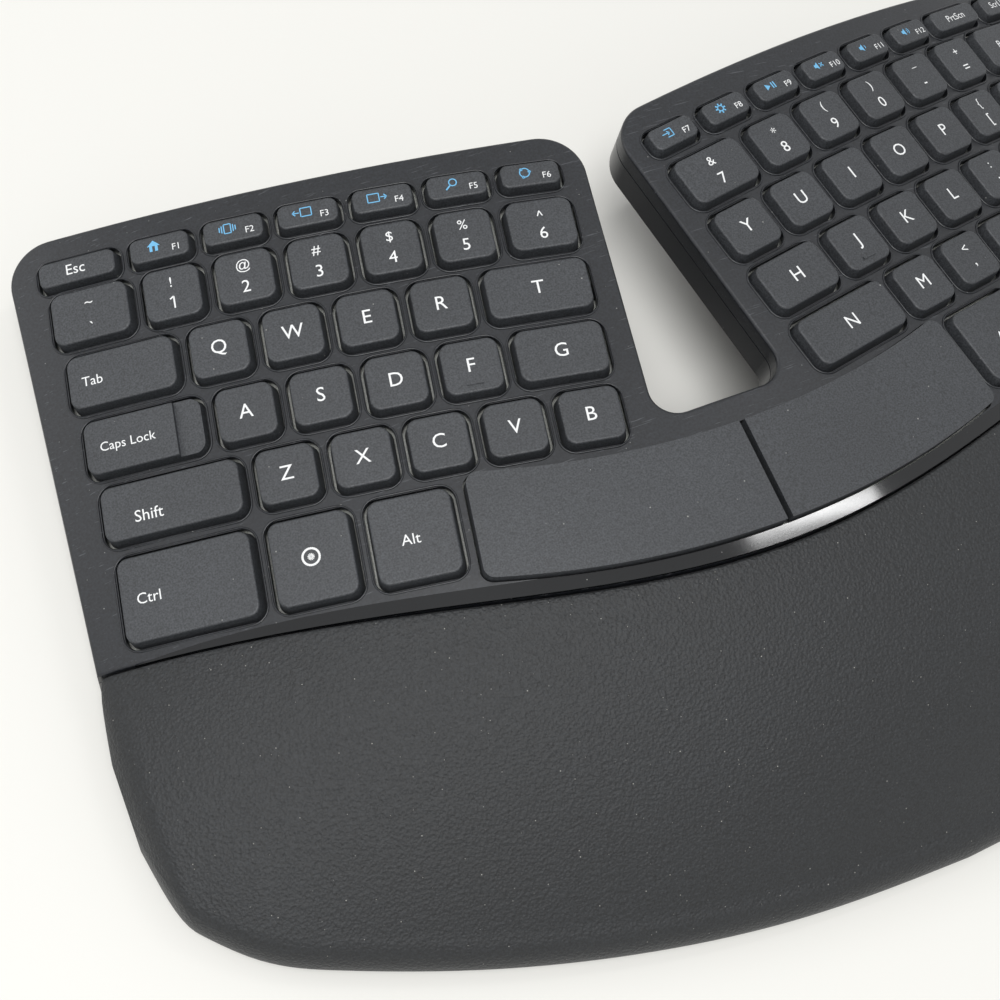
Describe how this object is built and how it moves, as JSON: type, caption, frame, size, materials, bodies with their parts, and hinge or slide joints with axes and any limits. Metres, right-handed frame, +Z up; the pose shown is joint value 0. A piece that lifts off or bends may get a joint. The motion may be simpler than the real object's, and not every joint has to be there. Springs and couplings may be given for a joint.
{
  "type": "ergonomic keyboard",
  "caption": "Split, domed keyboard with turned key halves, a tapered cut-out between them and a padded palm rest.",
  "frame": {"origin": "on the table under the middle of the keyboard's box", "axes": "+X to the typist's right, +Y to the rear, +Z up"},
  "size_m": [0.3914, 0.2398, 0.0552],
  "materials": {
    "lower_case_plastic": "satin black moulded shell",
    "frame_plastic": "semi-gloss black moulded frame",
    "trim_plastic": "polished black",
    "pad_cover": "pebbled soft cover",
    "base_plastic": "matt black",
    "plate_steel": "zinc plated sheet",
    "switch_film": "clear printed film",
    "dome_rubber": "translucent silicone",
    "link_plastic": "natural moulded plastic",
    "wire_steel": "drawn wire",
    "board_laminate": "solder mask green",
    "chip_plastic": "black epoxy",
    "cell_jacket": "printed jacket, plain",
    "contact_steel": "nickel plated spring steel",
    "foot_rubber": "matt black",
    "screw_steel": "black zinc",
    "door_plastic": "matt black",
    "slider_plastic": "satin black",
    "key_plastic": "fine matt grain",
    "function_key_plastic": "fine matt grain"
  },
  "bodies": {
    "case": {"bottom_case": "lower_case_plastic", "top_case": "frame_plastic", "gloss_trim": "trim_plastic", "palm_pad": "pad_cover", "palm_base": "base_plastic", "key_plate": "plate_steel", "membrane": "switch_film", "rubber_domes": "dome_rubber", "scissor_links": "link_plastic", "stabiliser_bars": "wire_steel", "circuit_board": "board_laminate", "board_parts": "chip_plastic", "batteries": "cell_jacket", "battery_contacts": "contact_steel", "feet": "foot_rubber", "case_screws": "screw_steel"},
    "caps_lock_key": {"caps_lock_key": "key_plastic"},
    "function_keys_left": {"function_keys_left": "function_key_plastic"},
    "function_keys_right": {"function_keys_right": "function_key_plastic"},
    "key_a": {"key_a": "key_plastic"},
    "key_b": {"key_b": "key_plastic"},
    "key_c": {"key_c": "key_plastic"},
    "key_d": {"key_d": "key_plastic"},
    "key_e": {"key_e": "key_plastic"},
    "key_f": {"key_f": "key_plastic"},
    "key_g": {"key_g": "key_plastic"},
    "key_h": {"key_h": "key_plastic"},
    "key_i": {"key_i": "key_plastic"},
    "key_j": {"key_j": "key_plastic"},
    "key_k": {"key_k": "key_plastic"},
    "key_l": {"key_l": "key_plastic"},
    "key_m": {"key_m": "key_plastic"},
    "key_n": {"key_n": "key_plastic"},
    "key_o": {"key_o": "key_plastic"},
    "key_p": {"key_p": "key_plastic"},
    "key_q": {"key_q": "key_plastic"},
    "key_r": {"key_r": "key_plastic"},
    "key_s": {"key_s": "key_plastic"},
    "key_t": {"key_t": "key_plastic"},
    "key_u": {"key_u": "key_plastic"},
    "key_v": {"key_v": "key_plastic"},
    "key_w": {"key_w": "key_plastic"},
    "key_x": {"key_x": "key_plastic"},
    "key_y": {"key_y": "key_plastic"},
    "key_z": {"key_z": "key_plastic"},
    "left_alt_key": {"left_alt_key": "key_plastic"},
    "left_control_key": {"left_control_key": "key_plastic"},
    "left_shift_key": {"left_shift_key": "key_plastic"},
    "left_system_key": {"left_system_key": "key_plastic"},
    "navigation_keys": {"navigation_keys": "key_plastic"},
    "number_keys_left": {"number_keys_left": "key_plastic"},
    "number_keys_right": {"number_keys_right": "key_plastic"},
    "right_edge_keys": {"right_edge_keys": "key_plastic"},
    "right_modifier_keys": {"right_modifier_keys": "key_plastic"},
    "space_bar_left": {"space_bar_left": "key_plastic"},
    "space_bar_right": {"space_bar_right": "key_plastic"},
    "tab_key": {"tab_key": "key_plastic"},
    "battery_door": {"battery_door": "door_plastic"},
    "fn_slider": {"fn_slider": "slider_plastic"}
  },
  "joints": [
    {"name": "press_caps_lock_key", "type": "slide", "parent": "case", "child": "caps_lock_key", "axis": [0.3256, 0, -0.9455], "range_m": [0, 0.002], "stiffness_N_per_m": 300, "springref_m": -0.001},
    {"name": "press_function_keys_left", "type": "slide", "parent": "case", "child": "function_keys_left", "axis": [0.2107, 0, -0.9775], "range_m": [0, 0.002], "stiffness_N_per_m": 300, "springref_m": -0.001},
    {"name": "press_function_keys_right", "type": "slide", "parent": "case", "child": "function_keys_right", "axis": [-0.1504, 0, -0.9886], "range_m": [0, 0.002], "stiffness_N_per_m": 300, "springref_m": -0.001},
    {"name": "press_key_a", "type": "slide", "parent": "case", "child": "key_a", "axis": [0.2739, 0, -0.9617], "range_m": [0, 0.002], "stiffness_N_per_m": 300, "springref_m": -0.001, "deforming": ["rubber_domes", "scissor_links", "stabiliser_bars"]},
    {"name": "press_key_b", "type": "slide", "parent": "case", "child": "key_b", "axis": [0.1146, 0, -0.9934], "range_m": [0, 0.002], "stiffness_N_per_m": 300, "springref_m": -0.001},
    {"name": "press_key_c", "type": "slide", "parent": "case", "child": "key_c", "axis": [0.1913, 0, -0.9815], "range_m": [0, 0.002], "stiffness_N_per_m": 300, "springref_m": -0.001},
    {"name": "press_key_d", "type": "slide", "parent": "case", "child": "key_d", "axis": [0.1989, 0, -0.98], "range_m": [0, 0.002], "stiffness_N_per_m": 300, "springref_m": -0.001},
    {"name": "press_key_e", "type": "slide", "parent": "case", "child": "key_e", "axis": [0.1999, 0, -0.9798], "range_m": [0, 0.002], "stiffness_N_per_m": 300, "springref_m": -0.001},
    {"name": "press_key_f", "type": "slide", "parent": "case", "child": "key_f", "axis": [0.1609, 0, -0.987], "range_m": [0, 0.002], "stiffness_N_per_m": 300, "springref_m": -0.001},
    {"name": "press_key_g", "type": "slide", "parent": "case", "child": "key_g", "axis": [0.1149, 0, -0.9934], "range_m": [0, 0.002], "stiffness_N_per_m": 300, "springref_m": -0.001},
    {"name": "press_key_h", "type": "slide", "parent": "case", "child": "key_h", "axis": [-0.0252, 0, -0.9997], "range_m": [0, 0.002], "stiffness_N_per_m": 300, "springref_m": -0.001},
    {"name": "press_key_i", "type": "slide", "parent": "case", "child": "key_i", "axis": [-0.0892, 0, -0.996], "range_m": [0, 0.002], "stiffness_N_per_m": 300, "springref_m": -0.001},
    {"name": "press_key_j", "type": "slide", "parent": "case", "child": "key_j", "axis": [-0.0698, 0, -0.9976], "range_m": [0, 0.002], "stiffness_N_per_m": 300, "springref_m": -0.001},
    {"name": "press_key_k", "type": "slide", "parent": "case", "child": "key_k", "axis": [-0.1081, 0, -0.9941], "range_m": [0, 0.002], "stiffness_N_per_m": 300, "springref_m": -0.001},
    {"name": "press_key_l", "type": "slide", "parent": "case", "child": "key_l", "axis": [-0.1462, 0, -0.9893], "range_m": [0, 0.002], "stiffness_N_per_m": 300, "springref_m": -0.001},
    {"name": "press_key_m", "type": "slide", "parent": "case", "child": "key_m", "axis": [-0.0956, 0, -0.9954], "range_m": [0, 0.002], "stiffness_N_per_m": 300, "springref_m": -0.001},
    {"name": "press_key_n", "type": "slide", "parent": "case", "child": "key_n", "axis": [-0.0418, 0, -0.9991], "range_m": [0, 0.002], "stiffness_N_per_m": 300, "springref_m": -0.001},
    {"name": "press_key_o", "type": "slide", "parent": "case", "child": "key_o", "axis": [-0.1274, 0, -0.9919], "range_m": [0, 0.002], "stiffness_N_per_m": 300, "springref_m": -0.001},
    {"name": "press_key_p", "type": "slide", "parent": "case", "child": "key_p", "axis": [-0.1655, 0, -0.9862], "range_m": [0, 0.002], "stiffness_N_per_m": 300, "springref_m": -0.001},
    {"name": "press_key_q", "type": "slide", "parent": "case", "child": "key_q", "axis": [0.2749, 0, -0.9615], "range_m": [0, 0.002], "stiffness_N_per_m": 300, "springref_m": -0.001},
    {"name": "press_key_r", "type": "slide", "parent": "case", "child": "key_r", "axis": [0.1619, 0, -0.9868], "range_m": [0, 0.002], "stiffness_N_per_m": 300, "springref_m": -0.001},
    {"name": "press_key_s", "type": "slide", "parent": "case", "child": "key_s", "axis": [0.2366, 0, -0.9716], "range_m": [0, 0.002], "stiffness_N_per_m": 300, "springref_m": -0.001},
    {"name": "press_key_t", "type": "slide", "parent": "case", "child": "key_t", "axis": [0.1117, 0, -0.9937], "range_m": [0, 0.002], "stiffness_N_per_m": 300, "springref_m": -0.001},
    {"name": "press_key_u", "type": "slide", "parent": "case", "child": "key_u", "axis": [-0.0508, 0, -0.9987], "range_m": [0, 0.002], "stiffness_N_per_m": 300, "springref_m": -0.001},
    {"name": "press_key_v", "type": "slide", "parent": "case", "child": "key_v", "axis": [0.1532, 0, -0.9882], "range_m": [0, 0.002], "stiffness_N_per_m": 300, "springref_m": -0.001},
    {"name": "press_key_w", "type": "slide", "parent": "case", "child": "key_w", "axis": [0.2376, 0, -0.9714], "range_m": [0, 0.002], "stiffness_N_per_m": 300, "springref_m": -0.001},
    {"name": "press_key_x", "type": "slide", "parent": "case", "child": "key_x", "axis": [0.229, 0, -0.9734], "range_m": [0, 0.002], "stiffness_N_per_m": 300, "springref_m": -0.001},
    {"name": "press_key_y", "type": "slide", "parent": "case", "child": "key_y", "axis": [-0.0121, 0, -0.9999], "range_m": [0, 0.002], "stiffness_N_per_m": 300, "springref_m": -0.001},
    {"name": "press_key_z", "type": "slide", "parent": "case", "child": "key_z", "axis": [0.2665, 0, -0.9638], "range_m": [0, 0.002], "stiffness_N_per_m": 300, "springref_m": -0.001},
    {"name": "press_left_alt_key", "type": "slide", "parent": "case", "child": "left_alt_key", "axis": [0.2207, 0, -0.9753], "range_m": [0, 0.002], "stiffness_N_per_m": 300, "springref_m": -0.001},
    {"name": "press_left_control_key", "type": "slide", "parent": "case", "child": "left_control_key", "axis": [0.3305, 0, -0.9438], "range_m": [0, 0.002], "stiffness_N_per_m": 300, "springref_m": -0.001},
    {"name": "press_left_shift_key", "type": "slide", "parent": "case", "child": "left_shift_key", "axis": [0.3235, 0, -0.9462], "range_m": [0, 0.002], "stiffness_N_per_m": 300, "springref_m": -0.001},
    {"name": "press_left_system_key", "type": "slide", "parent": "case", "child": "left_system_key", "axis": [0.2699, 0, -0.9629], "range_m": [0, 0.002], "stiffness_N_per_m": 300, "springref_m": -0.001},
    {"name": "press_navigation_keys", "type": "slide", "parent": "case", "child": "navigation_keys", "axis": [-0.343, 0, -0.9393], "range_m": [0, 0.002], "stiffness_N_per_m": 300, "springref_m": -0.001},
    {"name": "press_number_keys_left", "type": "slide", "parent": "case", "child": "number_keys_left", "axis": [0.2134, 0, -0.977], "range_m": [0, 0.002], "stiffness_N_per_m": 300, "springref_m": -0.001},
    {"name": "press_number_keys_right", "type": "slide", "parent": "case", "child": "number_keys_right", "axis": [-0.1416, 0, -0.9899], "range_m": [0, 0.002], "stiffness_N_per_m": 300, "springref_m": -0.001},
    {"name": "press_right_edge_keys", "type": "slide", "parent": "case", "child": "right_edge_keys", "axis": [-0.2168, 0, -0.9762], "range_m": [0, 0.002], "stiffness_N_per_m": 300, "springref_m": -0.001},
    {"name": "press_right_modifier_keys", "type": "slide", "parent": "case", "child": "right_modifier_keys", "axis": [-0.1941, 0, -0.981], "range_m": [0, 0.002], "stiffness_N_per_m": 300, "springref_m": -0.001},
    {"name": "press_space_bar_left", "type": "slide", "parent": "case", "child": "space_bar_left", "axis": [0.1216, 0, -0.9926], "range_m": [0, 0.002], "stiffness_N_per_m": 300, "springref_m": -0.001},
    {"name": "press_space_bar_right", "type": "slide", "parent": "case", "child": "space_bar_right", "axis": [-0.0293, 0, -0.9996], "range_m": [0, 0.002], "stiffness_N_per_m": 300, "springref_m": -0.001},
    {"name": "press_tab_key", "type": "slide", "parent": "case", "child": "tab_key", "axis": [0.3246, 0, -0.9458], "range_m": [0, 0.002], "stiffness_N_per_m": 300, "springref_m": -0.001},
    {"name": "slide_battery_door", "type": "slide", "parent": "case", "child": "battery_door", "axis": [0, -1, 0], "range_m": [0, 0.003]},
    {"name": "slide_fn_switch", "type": "slide", "parent": "case", "child": "fn_slider", "axis": [0.9244, 0.1937, -0.3286], "range_m": [0, 0.008]}
  ]
}
